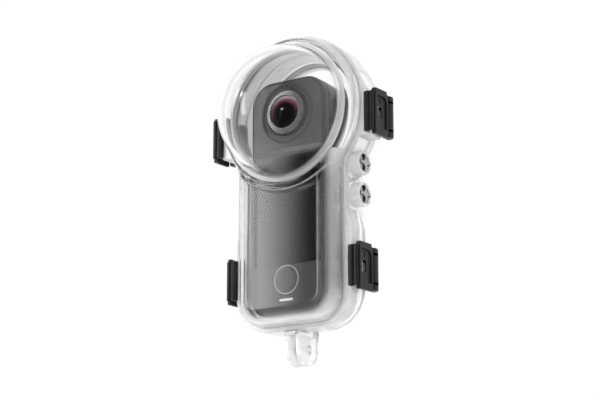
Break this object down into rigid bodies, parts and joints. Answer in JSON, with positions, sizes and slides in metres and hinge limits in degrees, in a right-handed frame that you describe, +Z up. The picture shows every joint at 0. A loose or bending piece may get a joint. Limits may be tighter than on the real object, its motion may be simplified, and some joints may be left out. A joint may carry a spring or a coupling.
{
  "type": "action camera",
  "caption": "Pocket two-lens panoramic action camera latched inside a clear waterproof housing with a dome over each lens, side push buttons and a two-finger mount.",
  "frame": {"origin": "centre of the cross hole through the two mounting fingers", "axes": "+Z up along the camera, +Y from the screen side to the back, +X to the side with the push buttons"},
  "size_m": [0.102, 0.1008, 0.1723],
  "materials": {
    "clear_shell": "clear polished polycarbonate",
    "clear_dome": "optically clear polished polycarbonate",
    "clear_silicone": "translucent silicone",
    "black_plastic": "satin moulded",
    "stainless": "polished stainless",
    "bushing_plastic": "translucent moulded",
    "black_rubber": "moulded",
    "camera_shell": "fine soft-touch texture",
    "camera_trim": "satin black anodised",
    "lens_glass": "coated optical glass",
    "screen": "gloss black cover glass",
    "display": "dark display panel",
    "pale_light": "pale light pipe",
    "circuit": "green solder mask",
    "copper": "rolled copper",
    "brass_nut": "turned brass"
  },
  "bodies": {
    "rear_case": {"rear_shell": "clear_shell", "rear_dome": "clear_dome", "rear_dome_seal": "clear_silicone", "main_gasket": "clear_silicone", "mount_fingers": "clear_shell", "latch_fulcrum_pins": "stainless", "push_bushings": "bushing_plastic", "push_shaft_seals": "black_rubber", "power_push_spring": "stainless", "quick_push_spring": "stainless"},
    "front_case": {"front_shell": "clear_shell", "front_dome": "clear_dome", "front_dome_seal": "clear_silicone"},
    "lever_right_upper": {"latch_lever_right_upper": "black_plastic", "latch_link_pin_right_upper": "stainless"},
    "link_right_upper": {"latch_link_right_upper": "black_plastic"},
    "lever_right_lower": {"latch_lever_right_lower": "black_plastic", "latch_link_pin_right_lower": "stainless"},
    "link_right_lower": {"latch_link_right_lower": "black_plastic"},
    "lever_left_upper": {"latch_lever_left_upper": "black_plastic", "latch_link_pin_left_upper": "stainless"},
    "link_left_upper": {"latch_link_left_upper": "black_plastic"},
    "lever_left_lower": {"latch_lever_left_lower": "black_plastic", "latch_link_pin_left_lower": "stainless"},
    "link_left_lower": {"latch_link_left_lower": "black_plastic"},
    "power_push": {"power_push_head": "stainless", "power_push_shaft": "stainless", "power_push_clip": "stainless"},
    "quick_push": {"quick_push_head": "stainless", "quick_push_shaft": "stainless", "quick_push_clip": "stainless"},
    "camera": {"camera_frame": "camera_shell", "camera_front_cover": "camera_shell", "camera_rear_cover": "camera_shell", "front_lens_ring": "camera_shell", "rear_lens_ring": "camera_shell", "front_lens_barrel": "camera_trim", "rear_lens_barrel": "camera_trim", "front_lens_glass": "lens_glass", "rear_lens_glass": "lens_glass", "front_image_sensor": "circuit", "rear_image_sensor": "circuit", "screen_glass": "screen", "display_panel": "display", "status_light": "pale_light", "side_grip": "camera_shell", "usb_door": "camera_trim", "battery": "camera_shell", "main_board": "circuit", "heat_spreader": "copper", "memory_card": "camera_trim", "tripod_nut": "brass_nut"},
    "power_key": {"power_button": "camera_trim"},
    "quick_key": {"quick_button": "camera_trim"},
    "shutter_key": {"shutter_button": "camera_shell", "shutter_ring": "pale_light"}
  },
  "joints": [
    {"name": "front_case_slide", "type": "slide", "parent": "rear_case", "child": "front_case", "axis": [0, -1, 0], "range_m": [0, 0.01]},
    {"name": "camera_slide", "type": "slide", "parent": "rear_case", "child": "camera", "axis": [0, -1, 0], "range_m": [0, 0.005]},
    {"name": "lever_hinge_right_upper", "type": "hinge", "parent": "rear_case", "child": "lever_right_upper", "pos_m": [0.0474, 0.002, 0.1162], "axis": [0, 0, -1], "range_deg": [0, 80]},
    {"name": "link_hinge_right_upper", "type": "hinge", "parent": "lever_right_upper", "child": "link_right_upper", "pos_m": [0.0475, 0.007, 0.1162], "axis": [0, 0, 1], "range_deg": [0, 92]},
    {"name": "lever_hinge_right_lower", "type": "hinge", "parent": "rear_case", "child": "lever_right_lower", "pos_m": [0.0374, 0.002, 0.0385], "axis": [0, 0, -1], "range_deg": [0, 80]},
    {"name": "link_hinge_right_lower", "type": "hinge", "parent": "lever_right_lower", "child": "link_right_lower", "pos_m": [0.0375, 0.007, 0.0385], "axis": [0, 0, 1], "range_deg": [0, 92]},
    {"name": "lever_hinge_left_upper", "type": "hinge", "parent": "rear_case", "child": "lever_left_upper", "pos_m": [-0.0474, 0.002, 0.1162], "axis": [0, 0, 1], "range_deg": [0, 80]},
    {"name": "link_hinge_left_upper", "type": "hinge", "parent": "lever_left_upper", "child": "link_left_upper", "pos_m": [-0.0475, 0.007, 0.1162], "axis": [0, 0, -1], "range_deg": [0, 92]},
    {"name": "lever_hinge_left_lower", "type": "hinge", "parent": "rear_case", "child": "lever_left_lower", "pos_m": [-0.0374, 0.002, 0.0385], "axis": [0, 0, 1], "range_deg": [0, 80]},
    {"name": "link_hinge_left_lower", "type": "hinge", "parent": "lever_left_lower", "child": "link_left_lower", "pos_m": [-0.0375, 0.007, 0.0385], "axis": [0, 0, -1], "range_deg": [0, 92]},
    {"name": "power_push_slide", "type": "slide", "parent": "rear_case", "child": "power_push", "axis": [-1, 0, 0], "range_m": [0, 0.0014], "stiffness_N_per_m": 1200, "springref_m": -0.0012, "deforming": ["power_push_spring"]},
    {"name": "power_key_press", "type": "slide", "parent": "camera", "child": "power_key", "axis": [-1, 0, 0], "range_m": [0, 0.0007], "stiffness_N_per_m": 1500, "springref_m": -0.0003},
    {"name": "quick_push_slide", "type": "slide", "parent": "rear_case", "child": "quick_push", "axis": [-1, 0, 0], "range_m": [0, 0.0014], "stiffness_N_per_m": 1200, "springref_m": -0.0012, "deforming": ["quick_push_spring"]},
    {"name": "quick_key_press", "type": "slide", "parent": "camera", "child": "quick_key", "axis": [-1, 0, 0], "range_m": [0, 0.0007], "stiffness_N_per_m": 1500, "springref_m": -0.0003},
    {"name": "shutter_press", "type": "slide", "parent": "camera", "child": "shutter_key", "axis": [0, 1, 0], "range_m": [0, 0.0004], "stiffness_N_per_m": 2500, "springref_m": -0.0003}
  ],
  "couplings": [
    {"joint": "camera_slide", "follows": "front_case_slide", "ratio": 0.5},
    {"joint": "lever_hinge_right_upper", "follows": "front_case_slide", "rad_per_m": 139.58},
    {"joint": "link_hinge_right_upper", "follows": "front_case_slide", "rad_per_m": 160.51},
    {"joint": "lever_hinge_right_lower", "follows": "front_case_slide", "rad_per_m": 139.58},
    {"joint": "link_hinge_right_lower", "follows": "front_case_slide", "rad_per_m": 160.51},
    {"joint": "lever_hinge_left_upper", "follows": "front_case_slide", "rad_per_m": 139.58},
    {"joint": "link_hinge_left_upper", "follows": "front_case_slide", "rad_per_m": 160.51},
    {"joint": "lever_hinge_left_lower", "follows": "front_case_slide", "rad_per_m": 139.58},
    {"joint": "link_hinge_left_lower", "follows": "front_case_slide", "rad_per_m": 160.51},
    {"joint": "power_key_press", "follows": "power_push_slide", "ratio": 0.5},
    {"joint": "quick_key_press", "follows": "quick_push_slide", "ratio": 0.5}
  ]
}
